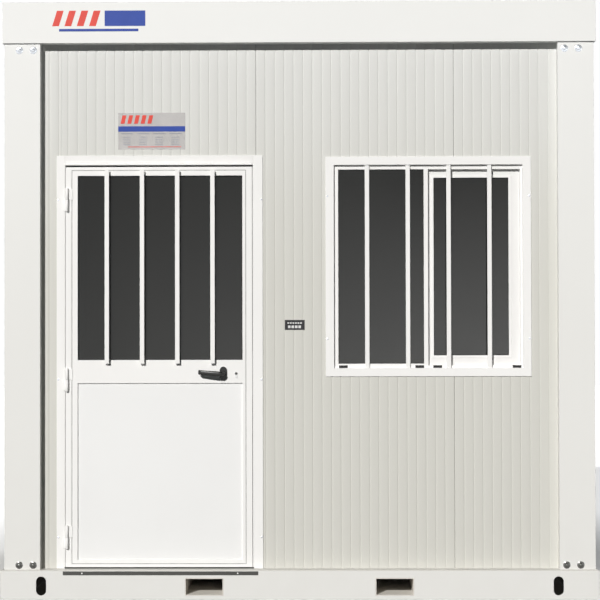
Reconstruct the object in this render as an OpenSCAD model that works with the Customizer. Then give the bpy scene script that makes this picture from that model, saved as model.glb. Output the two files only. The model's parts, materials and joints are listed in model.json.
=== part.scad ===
// Portable site cabin: steel base and roof frames on four folded corner posts, walls of
// insulated panels, a half-glazed outward-opening door and a two-light sliding window.
// Millimetres. X runs along the door side, the door side faces -Y, +Z is up, and the
// origin is on the ground under the middle of the cabin.

/* [Overall size] */
// Length along the door side, over the base rails
cabin_l = 3000; // [2900:10:6000]
// Depth from the door side to the back, over the base rails
cabin_d = 2400; // [1800:10:3000]
// Height from the ground to the top of the roof edge
cabin_h = 3000; // [2500:10:3600]

/* [Base frame] */
// Height of the base rails
rail_h = 145; // [120:1:200]
// Width of a base rail's top and bottom flanges
rail_w = 120; // [115:1:160]
// Thickness of the rails' folded steel
rail_t = 4; // [3:0.5:8]
// How far the bevel along a rail's top edge sets back
bevel_d = 5; // [4:1:15]
// How far down the face that bevel reaches
bevel_h = 5; // [4:1:30]
// Clear width of a fork pocket
fork_w = 184; // [150:1:260]
// Clear height of a fork pocket
fork_h = 79; // [60:1:95]
// Wall thickness of the fork tunnels
fork_wall = 5; // [3:0.5:8]
// Height of a fork pocket's floor above the ground
fork_low = 22; // [12:1:25]
// Distance between the middles of the two fork pockets
fork_spacing = 954; // [800:1:1400]
// Width of an oval lashing slot
slot_w = 50; // [30:1:60]
// Height of an oval lashing slot
slot_h = 95; // [70:1:100]
// Distance from the cabin's end to the middle of a lashing slot
slot_from_end = 205; // [150:1:300]
// Height of a lashing slot's middle
slot_z = 66; // [58:1:75]
// Width of a floor joist
joist_w = 50; // [40:1:80]
// Height of a floor joist
joist_h = 70; // [50:1:100]
// Wall thickness of a floor joist
joist_t = 3; // [2:0.5:5]
// Distance from one floor joist's middle to the next
joist_step = 240; // [200:10:400]

/* [Corner posts] */
// How far the posts stand back from the base rails' faces
post_inset = 17; // [12:1:40]
// Width of a post's two flanges
post_flange = 180; // [120:1:200]
// How far a post stands proud of the wall panels
post_recess = 50; // [30:1:60]
// Thickness of the posts' folded steel
post_t = 3; // [2:0.5:6]

/* [Roof] */
// Height of the roof beams' faces
beam_h = 206; // [150:1:260]
// How far the roof beams stand back from the base rails' faces
beam_inset = 7; // [0:1:15]
// Width of a roof beam's bottom flange
beam_w = 120; // [110:1:160]
// Width of a roof beam's top lip
beam_lip = 60; // [30:1:100]
// Thickness of the roof beams' folded steel
beam_t = 3; // [2:0.5:6]
// Thickness of the roof panels
roof_t = 40; // [30:1:80]
// Height of the ribs on the roof panels
rib_h = 38; // [20:1:60]
// Width of a roof rib at its foot
rib_w = 62; // [40:1:90]
// Width of a roof rib at its crown
rib_crown = 24; // [10:1:35]
// Distance from one roof rib to the next
rib_pitch = 250; // [200:10:333]

/* [Walls and floor] */
// Thickness of the wall panels
panel_t = 40; // [30:1:80]
// Width of a whole wall panel
panel_module = 1000; // [800:10:1200]
// Joint left between two wall panels
panel_gap = 1.5; // [1:0.5:5]
// Thickness of the floor board
board_t = 18; // [12:1:30]
// Thickness of the floor covering
covering_t = 3; // [2:0.5:6]

/* [Door] */
// Distance from the cabin's end to the near edge of the doorway cut in the wall
door_from_end = 300; // [260:1:600]
// Width of the door leaf
leaf_w = 944; // [800:1:1000]
// Height of the door leaf
leaf_h = 2021; // [1900:1:2040]
// Thickness of the door leaf
leaf_t = 39; // [34:1:60]
// Clear gap under the leaf and on its hinge side
door_gap = 5; // [5:0.5:8]
// Clear gap over the leaf
head_gap = 8; // [5:0.5:12]
// Clear gap on the lock side, where the leaf's back edge swings past
lock_gap = 7; // [7:0.5:10]
// Thickness of the threshold sheet under the leaf
sill_t = 2; // [1:0.5:5]
// Width of the frame's two uprights between the wall's cut edge and the gap
jamb_w = 14; // [10:1:30]
// Height of the frame's head between the gap and the wall's cut edge
head_h = 19; // [10:1:40]
// How far the frame's flange laps over the wall above the door
door_flange = 31; // [15:1:45]
// How far it laps over the wall on the hinge side
hinge_flange = 26; // [15:1:45]
// How far it laps over the wall on the lock side
lock_flange = 33; // [15:1:45]
// Thickness of the frame's flanges, outside and inside
flange_t = 5; // [3:0.5:8]
// How far the frame's stop reaches behind the leaf
stop_w = 12; // [8:1:20]
// Width of the leaf's stile on the hinge side
hinge_stile_w = 61; // [45:1:90]
// Width of the leaf's stile on the lock side
lock_stile_w = 49; // [45:1:90]
// Height of the leaf's top rail
top_rail_h = 44; // [40:1:90]
// Height of the leaf's bottom rail
bottom_rail_h = 36; // [30:1:120]
// Height of the leaf's middle rail
mid_rail_h = 117; // [100:1:160]
// Height of the middle rail's lower edge above the leaf's foot
mid_rail_z = 927; // [850:1:1000]
// Distance of the bead line from the leaf's two sides
bead_in = 30; // [15:1:40]
// Distance of the bead line from the leaf's top and foot
bead_up = 15; // [8:1:30]
// Width of the bead line cut into the leaf's face
bead_w = 4; // [2:0.5:6]
// Depth of the bead line
bead_depth = 4; // [1:0.5:4]
// How far the lower infill lies back from the leaf's face
infill_recess = 8; // [2:0.5:12]
// Thickness of the lower infill
infill_t = 24; // [10:1:27]
// How far the door pane lies back from the leaf's face
pane_recess = 15; // [8:1:20]
// Thickness of the door pane
pane_t = 6; // [4:0.5:12]
// How far the rain bar over the door stands out
drip_out = 16; // [10:1:40]
// Height of the rain bar
drip_h = 12; // [8:1:20]
// Height of the strip on the base rail under the door
strip_h = 19; // [10:1:24]
// Thickness of that strip
strip_t = 2; // [1:0.5:4]
// Distance of that strip below the base rail's top
strip_drop = 6; // [6:1:40]
// How far that strip runs past the doorway on the lock side
strip_over = 10; // [0:1:40]

/* [Door bars] */
// Number of bars over the door pane
door_bar_n = 4; // [2:1:6]
// Distance from one door bar to the next
door_bar_step = 178; // [100:1:200]
// How far the door bars lap over the rail below the pane
door_bar_foot = 18; // [16:1:40]
// How far the door bars lap over the rail above the pane
door_bar_head = 26; // [16:1:40]
// Width of a bar
bar_w = 22; // [12:1:30]
// Thickness of a bar, from front to back
bar_t = 10; // [6:1:16]
// Stand-off of the door bars from the leaf
bar_off = 12; // [6:1:25]
// Radius of the spacers that hold the door bars off
spacer_r = 7; // [4:0.5:10]

/* [Hinges] */
// Height of each hinge's middle above the leaf's foot
hinge_heights = [151, 945, 1855];
// Length of one hinge, both knuckles
hinge_l = 110; // [80:1:160]
// Radius of the knuckles
knuckle_r = 8; // [7:0.5:10]
// Radius of the hinge pins
pin_r = 5; // [3:0.5:6]
// Running clearance round a pin, on the radius
pin_play = 0.05; // [0.01:0.01:0.1]
// Gap between the two knuckles of a hinge
knuckle_gap = 1; // [0.5:0.5:3]
// Distance of the hinge axis in from the leaf's edge
hinge_in = 8; // [6:0.5:10]
// Air between the knuckles and the leaf's face
hinge_air = 1; // [1:0.5:3]
// Width of the leaf's wing of a hinge beyond its knuckle
wing_w = 20; // [18:1:35]
// How far the frame's wing of a hinge laps over the frame
socket_lap = 8; // [6:1:30]
// Thickness of the wings
wing_t = 4; // [3:0.5:6]

/* [Door handle] */
// Height of the handle's axis above the leaf's foot
handle_h = 975; // [960:1:1010]
// Distance of the handle's axis in from the leaf's lock edge
handle_in = 146; // [120:1:170]
// Length of the grip from the handle's axis
grip_l = 122; // [90:1:140]
// Height of the grip
grip_h = 24; // [16:1:30]
// Thickness of the grip
grip_t = 12; // [8:1:18]
// How far the grip stands off from the leaf's face
grip_out = 52; // [40:1:60]
// How far the grip's free end turns back to the leaf
grip_return = 22; // [10:1:28]
// Radius of the handle's neck
neck_r = 9; // [7:0.5:12]
// Running clearance round the neck, on the radius
neck_play = 0.05; // [0.01:0.01:0.1]
// Width of the oval rose plates
rose_w = 36; // [28:1:44]
// Height of the oval rose plates
rose_h = 70; // [50:1:80]
// Thickness of the rose plates
rose_t = 8; // [4:0.5:12]
// Side of the square spindle
spindle_w = 8; // [7:0.5:9]
// Radius of the hole through the leaf for the spindle
spindle_bore_r = 8; // [7:0.5:9]
// How deep the spindle sits in each neck
spindle_in = 24; // [15:1:35]
// Distance of the lock cylinder from the handle's axis, towards the leaf's edge
key_x = 65; // [45:1:75]
// Radius of the lock cylinder
key_r = 8.5; // [7:0.5:10]
// How far the lock cylinder stands out of the leaf
key_out = 3; // [1:0.5:6]

/* [Window] */
// Distance from the cabin's end to the near edge of the hole cut for the window
window_from_end = 356; // [300:1:700]
// Width of the hole cut for the window
window_w = 981; // [600:1:1100]
// Height of the hole cut for the window
window_h = 1055; // [600:1:1100]
// Height of the hole's lower edge above the ground
window_z = 1139; // [900:1:1200]
// How far the window's flange laps over the wall
window_flange = 28; // [15:1:45]
// Width of the window frame's body inside the hole
window_body = 14; // [10:1:25]
// Depth of the window frame, front to back
window_deep = 80; // [70:1:110]
// How far the fixed light lies back from the flange's face
fixed_recess = 16; // [16:1:30]
// Air between the fixed light and the sash behind it
track_gap = 2; // [1:0.5:5]
// Thickness of the fixed light and of the sash
sash_t = 20; // [16:1:22]
// Width of the fixed light's members
light_w = 22; // [15:1:40]
// Width of the sash's stile in the middle
sash_w = 51; // [35:1:70]
// Width of the sash's outer stile
sash_end_w = 68; // [35:1:90]
// Height of the sash's top and bottom rails
sash_rail_h = 59; // [35:1:80]
// How far the sash and the fixed light lap in the middle
sash_lap = 22; // [15:1:40]
// Play of the sash in its tracks, above and below
sash_play = 4; // [2:0.5:8]
// Thickness of the window panes
window_pane_t = 5; // [3:0.5:12]
// Number of bars in the window
window_bar_n = 4; // [2:1:6]
// Distance from one window bar to the next
window_bar_step = 206; // [100:1:220]
// How far the window bars lie back from the flange's face
window_bar_in = 4; // [0:1:12]

/* [Hidden] */
$fn = 48;
SLIT = 2; // overshoot of a cutting shape past the face it cuts

half_l = cabin_l / 2;
half_d = cabin_d / 2;

// Walls: outer and inner faces, foot and top
wall_x = half_l - post_inset - post_recess;
wall_y = half_d - post_inset - post_recess;
in_x = wall_x - panel_t;
in_y = wall_y - panel_t;
wall_z0 = rail_h;
wall_z1 = cabin_h - beam_h;
post_x = half_l - post_inset;
post_y = half_d - post_inset;
floor_z = rail_h + board_t + covering_t;

// Door: cut in the wall, leaf and head
cut_x0 = -half_l + door_from_end;
leaf_x0 = cut_x0 + jamb_w + door_gap;
leaf_x1 = leaf_x0 + leaf_w;
cut_x1 = leaf_x1 + lock_gap + jamb_w;
leaf_z0 = rail_h + sill_t + door_gap;
leaf_z1 = leaf_z0 + leaf_h;
head_z = leaf_z1 + head_gap;
cut_z1 = head_z + head_h;
front_y = -wall_y - flange_t;
leaf_back = front_y + leaf_t;
mid_z0 = leaf_z0 + mid_rail_z;
mid_z1 = mid_z0 + mid_rail_h;
pane_z1 = leaf_z1 - top_rail_h;
pane_x0 = leaf_x0 + hinge_stile_w;
pane_x1 = leaf_x1 - lock_stile_w;

// Wall joints on the door side
joint_x = cut_x1 + panel_module;

// Hinges and handle
hinge_x = leaf_x0 + hinge_in;
hinge_y = front_y - hinge_air - knuckle_r;
handle_x = leaf_x1 - handle_in;
handle_z = leaf_z0 + handle_h;

// Window
win_x1 = half_l - window_from_end;
win_x0 = win_x1 - window_w;
win_z0 = window_z;
win_z1 = window_z + window_h;
win_mid = (win_x0 + win_x1) / 2;
clear_x0 = win_x0 + window_body;
clear_x1 = win_x1 - window_body;
clear_z0 = win_z0 + window_body;
clear_z1 = win_z1 - window_body;
fixed_y = front_y + fixed_recess;
sash_y = fixed_y + sash_t + track_gap;
sash_pane_x0 = win_mid - sash_lap + sash_w;
sash_pane_x1 = clear_x1 - sash_end_w;
sash_pane_z0 = clear_z0 + sash_play + sash_rail_h;
sash_pane_z1 = clear_z1 - sash_play - sash_rail_h;

// ---- Shared shapes ----

// Box between two corners
module box(x0, x1, y0, y1, z0, z1) {
  translate([x0, y0, z0]) cube([x1 - x0, y1 - y0, z1 - z0]);
}

// Rectangular ring of the given width inside x0..x1, z0..z1
module ring(x0, x1, z0, z1, w, y0, y1) {
  difference() {
    box(x0, x1, y0, y1, z0, z1);
    box(x0 + w, x1 - w, y0 - SLIT, y1 + SLIT, z0 + w, z1 - w);
  }
}

// Round bar along Y, between y0 and y1
module rod_y(x, z, r, y0, y1) {
  translate([x, y0, z]) rotate([-90, 0, 0]) cylinder(r = r, h = y1 - y0);
}

// Profile drawn as [inward, up], run along X and mitred at both ends at its depth w
module mitred(len, w, h, profile) {
  intersection() {
    translate([-len / 2, 0, 0]) rotate([90, 0, 90]) linear_extrude(len) polygon(profile);
    linear_extrude(h)
      polygon([[-len / 2, 0], [len / 2, 0], [len / 2 - w, w], [-len / 2 + w, w]]);
  }
}

// ---- Base frame ----

// Folded channel, open to the inside, with a bevel along its top edge
function rail_profile() =
  let (a = atan(bevel_d / bevel_h), h = rail_h, t = rail_t, w = rail_w)
  [[0, 0], [w, 0], [w, t], [t, t], [t, h - bevel_h - t * tan(a / 2)],
   [bevel_d + t * tan((90 - a) / 2), h - t], [w, h - t], [w, h], [bevel_d, h],
   [0, h - bevel_h]];

module rail(len) {
  mitred(len, rail_w, rail_h, rail_profile());
}

// Upright oval hole through a rail's face
module oval(x) {
  flat = slot_h - slot_w;
  box(x - slot_w / 2, x + slot_w / 2, -SLIT, rail_t + SLIT,
      slot_z - flat / 2, slot_z + flat / 2);
  for (s = [-1, 1])
    rod_y(x, slot_z + s * flat / 2, slot_w / 2, -SLIT, rail_t + SLIT);
}

// Long rail, with the two fork pockets and the two lashing slots
module long_rail() {
  fork_out = fork_w / 2 + fork_wall;
  difference() {
    rail(cabin_l);
    for (s = [-1, 1]) {
      box(s * fork_spacing / 2 - fork_out, s * fork_spacing / 2 + fork_out,
          -SLIT, rail_t + SLIT, fork_low - fork_wall, fork_low + fork_h + fork_wall);
      oval(s * (half_l - slot_from_end));
    }
  }
}

module base_rail_front() {
  color("gainsboro") translate([0, -half_d, 0]) long_rail();
}

module base_rail_back() {
  color("gainsboro") translate([0, half_d, 0]) rotate(180) long_rail();
}

module base_rail_left() {
  color("gainsboro") translate([-half_l, 0, 0]) rotate(-90) rail(cabin_d);
}

module base_rail_right() {
  color("gainsboro") translate([half_l, 0, 0]) rotate(90) rail(cabin_d);
}

// Rectangular tubes from the front rail's face to the back rail's
module fork_tunnels() {
  out = fork_w / 2 + fork_wall;
  z0 = fork_low - fork_wall;
  z1 = fork_low + fork_h + fork_wall;
  color("gainsboro")
    for (s = [-1, 1])
      ring(s * fork_spacing / 2 - out, s * fork_spacing / 2 + out, z0, z1, fork_wall,
           -half_d, half_d);
}

// Upturned channels between the long rails, left out where a fork tunnel runs
module floor_joists() {
  reach = floor((half_l - rail_w - joist_w) / joist_step) * joist_step;
  room = fork_w / 2 + fork_wall + joist_w / 2;
  inner = half_d - rail_w;
  color("darkgray")
    for (x = [-reach : joist_step : reach])
      if (abs(abs(x) - fork_spacing / 2) > room)
        difference() {
          box(x - joist_w / 2, x + joist_w / 2, -inner, inner, rail_h - joist_h, rail_h);
          box(x - joist_w / 2 + joist_t, x + joist_w / 2 - joist_t,
              -inner - SLIT, inner + SLIT, rail_h - joist_h - SLIT, rail_h - joist_t);
        }
}

module floor_board() {
  color("burlywood") box(-in_x, in_x, -in_y, in_y, rail_h, rail_h + board_t);
}

module floor_covering() {
  color("slategray") box(-in_x, in_x, -in_y, in_y, rail_h + board_t, floor_z);
}

// ---- Corner posts ----

// Hollow angle that wraps the corner where two walls meet, drawn for +X +Y
module corner_post(sx, sy) {
  f = post_flange;
  r = post_recess;
  t = post_t;
  outer = [[0, 0], [-f, 0], [-f, -r], [-r, -r], [-r, -f], [0, -f]];
  hollow = [[-t, -t], [t - f, -t], [t - f, t - r], [t - r, t - r], [t - r, t - f], [-t, t - f]];
  translate([sx * post_x, sy * post_y, wall_z0]) scale([sx, sy, 1])
    linear_extrude(wall_z1 - wall_z0) difference() {
      polygon(outer);
      polygon(hollow);
    }
}

module corner_post_front_left() { color("whitesmoke") corner_post(-1, -1); }
module corner_post_front_right() { color("whitesmoke") corner_post(1, -1); }
module corner_post_back_left() { color("whitesmoke") corner_post(-1, 1); }
module corner_post_back_right() { color("whitesmoke") corner_post(1, 1); }

// ---- Roof ----

// Folded channel, open to the inside, with a narrower lip at the top
function beam_profile() =
  let (h = beam_h, t = beam_t)
  [[0, 0], [beam_w, 0], [beam_w, t], [t, t], [t, h - t], [beam_lip, h - t], [beam_lip, h],
   [0, h]];

module beam(len) {
  mitred(len, beam_w, beam_h, beam_profile());
}

module roof_beam_front() {
  color("whitesmoke") translate([0, beam_inset - half_d, wall_z1])
    beam(cabin_l - 2 * beam_inset);
}

module roof_beam_back() {
  color("whitesmoke") translate([0, half_d - beam_inset, wall_z1]) rotate(180)
    beam(cabin_l - 2 * beam_inset);
}

module roof_beam_left() {
  color("whitesmoke") translate([beam_inset - half_l, 0, wall_z1]) rotate(-90)
    beam(cabin_d - 2 * beam_inset);
}

module roof_beam_right() {
  color("whitesmoke") translate([half_l - beam_inset, 0, wall_z1]) rotate(90)
    beam(cabin_d - 2 * beam_inset);
}

// Ribbed panels that lie on the beams' bottom flanges, inside their faces
module roof_panels() {
  x = half_l - beam_inset - beam_t;
  y = half_d - beam_inset - beam_t;
  z = wall_z1 + beam_t;
  n = floor((x - rib_w) / rib_pitch);
  color("lightgray") {
    box(-x, x, -y, y, z, z + roof_t);
    for (i = [-n : n])
      translate([i * rib_pitch, y, z + roof_t]) rotate([90, 0, 0]) linear_extrude(2 * y)
        polygon([[-rib_w / 2, 0], [rib_w / 2, 0], [rib_crown / 2, rib_h],
                 [-rib_crown / 2, rib_h]]);
  }
}

// ---- Walls ----

// Panels side by side along X from x0 to x1, with open joints between them
module panel_row(x0, x1, y0, y1) {
  n = ceil((x1 - x0) / panel_module);
  for (i = [0 : n - 1]) {
    a = x0 + i * panel_module;
    b = min(a + panel_module, x1 + panel_gap);
    box(a, b - panel_gap, y0, y1, wall_z0, wall_z1);
  }
}

// A panel of the door side between x0 and x1, with the window's hole cut out
module front_panel(x0, x1) {
  color("gainsboro") difference() {
    box(x0, x1, -wall_y, -in_y, wall_z0, wall_z1);
    box(win_x0, win_x1, -wall_y - SLIT, -in_y + SLIT, win_z0, win_z1);
  }
}

module front_panel_beside_door() {
  color("gainsboro") box(-in_x, cut_x0, -wall_y, -in_y, wall_z0, wall_z1);
}

module front_panel_over_door() {
  color("gainsboro")
    box(cut_x0, cut_x1 - panel_gap, -wall_y, -in_y, cut_z1, wall_z1);
}

module front_panel_middle() { front_panel(cut_x1, joint_x - panel_gap); }
module front_panel_right() { front_panel(joint_x, in_x); }

module left_wall_panels() {
  color("gainsboro") rotate(90) panel_row(-wall_y, wall_y, in_x, wall_x);
}

module right_wall_panels() {
  color("gainsboro") rotate(-90) panel_row(-wall_y, wall_y, in_x, wall_x);
}

module back_wall_panels() {
  color("gainsboro") rotate(180) panel_row(-in_x, in_x, -wall_y, -in_y);
}

// ---- Door frame ----

// One upright of the frame, drawn for the lock side: cut edge at x = 0, leaf towards -X.
// Its inner flange and stop begin on the finished floor.
module jamb(lap) {
  body_in = -in_y;
  box(-jamb_w, 0, front_y, body_in, rail_h, cut_z1 + door_flange);
  box(0, lap, front_y, -wall_y, rail_h, cut_z1 + door_flange);
  box(-jamb_w, lap, body_in, body_in + flange_t, floor_z, cut_z1 + door_flange);
  box(-jamb_w - stop_w, -jamb_w, body_in, body_in + flange_t, floor_z, head_z - stop_w);
}

// The uprights' bodies end at the head of the cut, where the wall begins
module trimmed_jamb(lap) {
  difference() {
    jamb(lap);
    box(-jamb_w, 0, -wall_y, -in_y, cut_z1, cut_z1 + door_flange + SLIT);
  }
}

module door_jamb_lock_side() {
  color("white") translate([cut_x1, 0, 0]) trimmed_jamb(lock_flange);
}

module door_jamb_hinge_side() {
  color("white") translate([cut_x0, 0, 0]) mirror([1, 0, 0])
    trimmed_jamb(hinge_flange);
}

// Top of the frame, between the two uprights
module door_head() {
  x0 = cut_x0 + jamb_w;
  x1 = cut_x1 - jamb_w;
  body_in = -in_y;
  color("white") {
    box(x0, x1, front_y, body_in, head_z, cut_z1);
    box(x0, x1, front_y, -wall_y, cut_z1, cut_z1 + door_flange);
    box(x0, x1, body_in, body_in + flange_t, head_z - stop_w, cut_z1 + door_flange);
  }
}

// Bar that throws the rain clear of the leaf's top, sloped to the front
module door_rain_bar() {
  color("white") translate([leaf_x0, front_y, head_z]) rotate([90, 0, 90])
    linear_extrude(leaf_w)
      polygon([[0, 0], [-drip_out, 0], [-drip_out, drip_h / 2], [0, drip_h]]);
}

// Sheet under the leaf, and the dark strip on the face of the base rail
module door_threshold() {
  color("dimgray") {
    box(cut_x0 + jamb_w, cut_x1 - jamb_w, front_y, -in_y, rail_h, rail_h + sill_t);
    box(cut_x0 + jamb_w, cut_x1 + strip_over, -half_d - strip_t, -half_d,
        rail_h - strip_drop - strip_h, rail_h - strip_drop);
  }
}

// Lower knuckles with their pins, held on the frame by a wing
module door_hinge_sockets() {
  h = (hinge_l - knuckle_gap) / 2;
  color("white")
    for (z = hinge_heights)
      translate([hinge_x, hinge_y, leaf_z0 + z]) {
        translate([0, 0, -knuckle_gap / 2 - h]) cylinder(r = knuckle_r, h = h);
        translate([0, 0, -knuckle_gap / 2 - pin_r]) cylinder(r = pin_r, h = h);
        socket_wing(-knuckle_gap / 2 - h, -knuckle_gap / 2);
      }
}

// Wing of a lower knuckle: it bridges the gap and lies on the frame's flange
module socket_wing(z0, z1) {
  back = hinge_air + knuckle_r;
  edge = cut_x0 + jamb_w - hinge_x;
  box(edge - socket_lap, 0, back - hinge_air - wing_t, back - hinge_air, z0, z1);
  box(edge - socket_lap, edge, back - hinge_air - wing_t, back, z0, z1);
}

// ---- Door leaf ----

module door_leaf_frame() {
  color("white") difference() {
    box(leaf_x0, leaf_x1, front_y, leaf_back, leaf_z0, leaf_z1);
    box(pane_x0, pane_x1, front_y - SLIT, leaf_back + SLIT,
        leaf_z0 + bottom_rail_h, mid_z0);
    box(pane_x0, pane_x1, front_y - SLIT, leaf_back + SLIT, mid_z1, pane_z1);
    bead_line();
    rod_y(handle_x, handle_z, spindle_bore_r, front_y - SLIT, leaf_back + SLIT);
    rod_y(handle_x + key_x, handle_z, key_r, front_y - SLIT, leaf_back + SLIT);
  }
}

// Fine line cut round the leaf's face where the glazing bead begins
module bead_line() {
  ring(leaf_x0 + bead_in, leaf_x1 - bead_in, leaf_z0 + bead_up, leaf_z1 - bead_up,
       bead_w, front_y - SLIT, front_y + bead_depth);
}

module door_lower_panel() {
  color("whitesmoke")
    box(pane_x0, pane_x1, front_y + infill_recess,
        front_y + infill_recess + infill_t, leaf_z0 + bottom_rail_h, mid_z0);
}

module door_glass() {
  color([0.3, 0.33, 0.34, 0.6])
    box(pane_x0, pane_x1, front_y + pane_recess,
        front_y + pane_recess + pane_t, mid_z1, pane_z1);
}

// Flat bars over the pane, held off the leaf on a spacer at each end
module door_bars() {
  mid = (pane_x0 + pane_x1) / 2;
  y1 = front_y - bar_off;
  z0 = mid_z1 - door_bar_foot;
  z1 = pane_z1 + door_bar_head;
  color("white")
    for (i = [0 : door_bar_n - 1]) {
      x = mid + (i - (door_bar_n - 1) / 2) * door_bar_step;
      box(x - bar_w / 2, x + bar_w / 2, y1 - bar_t, y1, z0, z1);
      for (z = [mid_z1 - door_bar_foot / 2, pane_z1 + door_bar_head / 2])
        rod_y(x, z, spacer_r, y1, front_y);
    }
}

// Upper knuckles, bored for the pins, with a wing on the leaf's face
module door_hinge_knuckles() {
  h = (hinge_l - knuckle_gap) / 2;
  back = hinge_air + knuckle_r;
  color("white")
    for (z = hinge_heights)
      translate([hinge_x, hinge_y, leaf_z0 + z + knuckle_gap / 2]) difference() {
        union() {
          cylinder(r = knuckle_r, h = h);
          box(0, knuckle_r + wing_w, back - wing_t, back, 0, h);
        }
        translate([0, 0, -SLIT]) cylinder(r = pin_r + pin_play, h = h);
      }
}

module rose(y0) {
  flat = rose_h - rose_w;
  difference() {
    union() {
      box(handle_x - rose_w / 2, handle_x + rose_w / 2, y0, y0 + rose_t,
          handle_z - flat / 2, handle_z + flat / 2);
      for (s = [-1, 1])
        rod_y(handle_x, handle_z + s * flat / 2, rose_w / 2, y0, y0 + rose_t);
    }
    rod_y(handle_x, handle_z, neck_r + neck_play, y0 - SLIT, y0 + rose_t + SLIT);
  }
}

module door_handle_roses() {
  color("dimgray") {
    rose(front_y - rose_t);
    rose(leaf_back);
  }
}

module door_lock_cylinder() {
  color("silver")
    rod_y(handle_x + key_x, handle_z, key_r, front_y - key_out, leaf_back + key_out);
}

// Lever seen from outside, its neck starting at y = 0 and the grip towards -Y and -X
module lever() {
  neck_l = grip_out - grip_t / 2;
  difference() {
    union() {
      rod_y(0, 0, neck_r, -neck_l, 0);
      box(-grip_l, 0, -grip_out, grip_t - grip_out, -grip_h / 2, grip_h / 2);
      rod_y(0, 0, grip_h / 2, -grip_out, grip_t - grip_out);
      box(-grip_l, grip_t - grip_l, -grip_out, grip_return - grip_out,
          -grip_h / 2, grip_h / 2);
    }
    box(-spindle_w / 2, spindle_w / 2, -spindle_in, SLIT, -spindle_w / 2, spindle_w / 2);
  }
}

module door_lever_outside() {
  color("dimgray") translate([handle_x, front_y - neck_play, handle_z]) lever();
}

module door_lever_inside() {
  color("dimgray") translate([handle_x, leaf_back + neck_play, handle_z])
    mirror([0, 1, 0]) lever();
}

module door_spindle() {
  reach = spindle_in + neck_play;
  color("silver")
    box(handle_x - spindle_w / 2, handle_x + spindle_w / 2,
        front_y - reach, leaf_back + reach,
        handle_z - spindle_w / 2, handle_z + spindle_w / 2);
}

// ---- Window ----

module window_frame() {
  f = window_flange;
  color("white") {
    ring(win_x0, win_x1, win_z0, win_z1, window_body, front_y, front_y + window_deep);
    ring(win_x0 - f, win_x1 + f, win_z0 - f, win_z1 + f, f, front_y, -wall_y);
    ring(win_x0 - f, win_x1 + f, win_z0 - f, win_z1 + f, f, -in_y, -in_y + flange_t);
  }
}

// Left light, fixed in the outer track; its inner stile laps over the sash
module window_fixed_light() {
  color("white")
    ring(clear_x0, win_mid, clear_z0, clear_z1, light_w, fixed_y, fixed_y + sash_t);
}

// Right light, in the inner track
module window_sliding_sash() {
  color("white") difference() {
    box(win_mid - sash_lap, clear_x1, sash_y, sash_y + sash_t,
        clear_z0 + sash_play, clear_z1 - sash_play);
    box(sash_pane_x0, sash_pane_x1, sash_y - SLIT, sash_y + sash_t + SLIT,
        sash_pane_z0, sash_pane_z1);
  }
}

// One pane in each light
module window_glass() {
  a = (sash_t - window_pane_t) / 2;
  color([0.3, 0.33, 0.34, 0.6]) {
    box(clear_x0 + light_w, win_mid - light_w, fixed_y + a, fixed_y + a + window_pane_t,
        clear_z0 + light_w, clear_z1 - light_w);
    box(sash_pane_x0, sash_pane_x1, sash_y + a, sash_y + a + window_pane_t,
        sash_pane_z0, sash_pane_z1);
  }
}

// Upright bars in front of both lights, set between the frame's sill and head
module window_bars() {
  y0 = front_y + window_bar_in;
  color("white")
    for (i = [0 : window_bar_n - 1]) {
      x = win_mid + (i - (window_bar_n - 1) / 2) * window_bar_step;
      box(x - bar_w / 2, x + bar_w / 2, y0, y0 + bar_t, clear_z0, clear_z1);
    }
}

base_rail_front();
base_rail_back();
base_rail_left();
base_rail_right();
fork_tunnels();
floor_joists();
floor_board();
floor_covering();
corner_post_front_left();
corner_post_front_right();
corner_post_back_left();
corner_post_back_right();
roof_beam_front();
roof_beam_back();
roof_beam_left();
roof_beam_right();
roof_panels();
front_panel_beside_door();
front_panel_over_door();
front_panel_middle();
front_panel_right();
left_wall_panels();
right_wall_panels();
back_wall_panels();
door_jamb_hinge_side();
door_jamb_lock_side();
door_head();
door_rain_bar();
door_threshold();
door_hinge_sockets();
door_leaf_frame();
door_lower_panel();
door_glass();
door_bars();
door_hinge_knuckles();
door_handle_roses();
door_lock_cylinder();
door_lever_outside();
door_lever_inside();
door_spindle();
window_frame();
window_fixed_light();
window_sliding_sash();
window_glass();
window_bars();
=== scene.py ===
import json
import math

import bmesh
import bpy
from mathutils import Matrix, Vector


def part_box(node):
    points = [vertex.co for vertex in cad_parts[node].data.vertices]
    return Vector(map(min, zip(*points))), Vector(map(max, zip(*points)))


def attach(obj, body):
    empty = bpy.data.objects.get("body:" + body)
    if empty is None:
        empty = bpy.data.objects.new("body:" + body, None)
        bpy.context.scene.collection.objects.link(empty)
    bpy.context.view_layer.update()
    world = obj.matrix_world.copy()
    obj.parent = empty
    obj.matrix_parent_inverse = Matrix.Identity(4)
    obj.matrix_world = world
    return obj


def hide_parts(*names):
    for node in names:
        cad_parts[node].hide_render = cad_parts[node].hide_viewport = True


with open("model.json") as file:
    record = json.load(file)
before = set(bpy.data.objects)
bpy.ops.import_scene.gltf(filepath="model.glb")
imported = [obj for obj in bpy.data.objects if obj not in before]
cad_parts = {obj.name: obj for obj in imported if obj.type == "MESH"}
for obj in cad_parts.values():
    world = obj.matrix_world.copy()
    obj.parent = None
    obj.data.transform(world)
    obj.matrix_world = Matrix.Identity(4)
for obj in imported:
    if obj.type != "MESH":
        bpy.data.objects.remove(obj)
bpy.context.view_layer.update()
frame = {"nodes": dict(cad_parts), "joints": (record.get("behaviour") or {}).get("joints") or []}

NODES = frame["nodes"]
SCENE = bpy.context.scene

# ---------------------------------------------------------------- sizes, in metres

# Camera: where it stands and how it is turned, in degrees
CAMERA_AT = (0.115, -9.9, 1.355)
CAMERA_PAN = -0.72
CAMERA_TILT = 0.933
CAMERA_ROLL = -0.12
CAMERA_LENS = 104.1

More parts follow.
